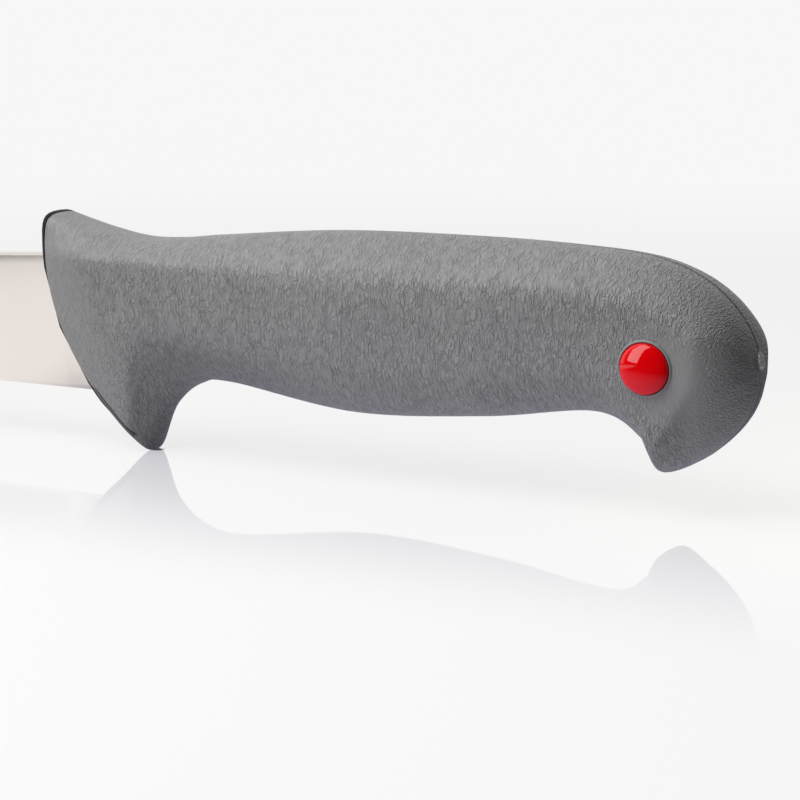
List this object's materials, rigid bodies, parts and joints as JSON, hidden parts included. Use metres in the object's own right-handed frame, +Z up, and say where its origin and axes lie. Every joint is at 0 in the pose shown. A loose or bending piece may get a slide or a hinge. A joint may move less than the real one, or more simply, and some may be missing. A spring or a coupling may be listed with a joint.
{
  "type": "butcher knife",
  "caption": "Butcher knife with a straight-backed steel blade, a sculpted grained soft grip with finger guard and hooked pommel, and a push-in coloured pin through the pommel.",
  "frame": {"origin": "middle of the bottom of the knife's box, edge down as in the picture, so the guard tip is at z = 0", "axes": "+X along the blade's spine towards the butt of the handle, +Y across the knife (the picture looks from -Y), +Z up from the edge to the spine"},
  "size_m": [0.34, 0.0254, 0.0451],
  "materials": {
    "blade_steel": "satin, pale, ground flat from the rounded spine to the edge",
    "core_plastic": "black, smooth, half matt",
    "grip_soft": "grey, matt, fine leather grain",
    "pin_red": "red, glossy, smooth domed heads"
  },
  "bodies": {
    "knife": {"blade": "blade_steel", "handle_core": "core_plastic", "grip_skin": "grip_soft"},
    "near_pin_half": {"pin_socket": "pin_red"},
    "far_pin_half": {"pin_stud": "pin_red"}
  },
  "joints": [
    {"name": "near_pin_pull", "type": "slide", "parent": "knife", "child": "near_pin_half", "axis": [0, -1, 0], "range_m": [0, 0.022]},
    {"name": "far_pin_pull", "type": "slide", "parent": "knife", "child": "far_pin_half", "axis": [0, 1, 0], "range_m": [0, 0.022]}
  ]
}
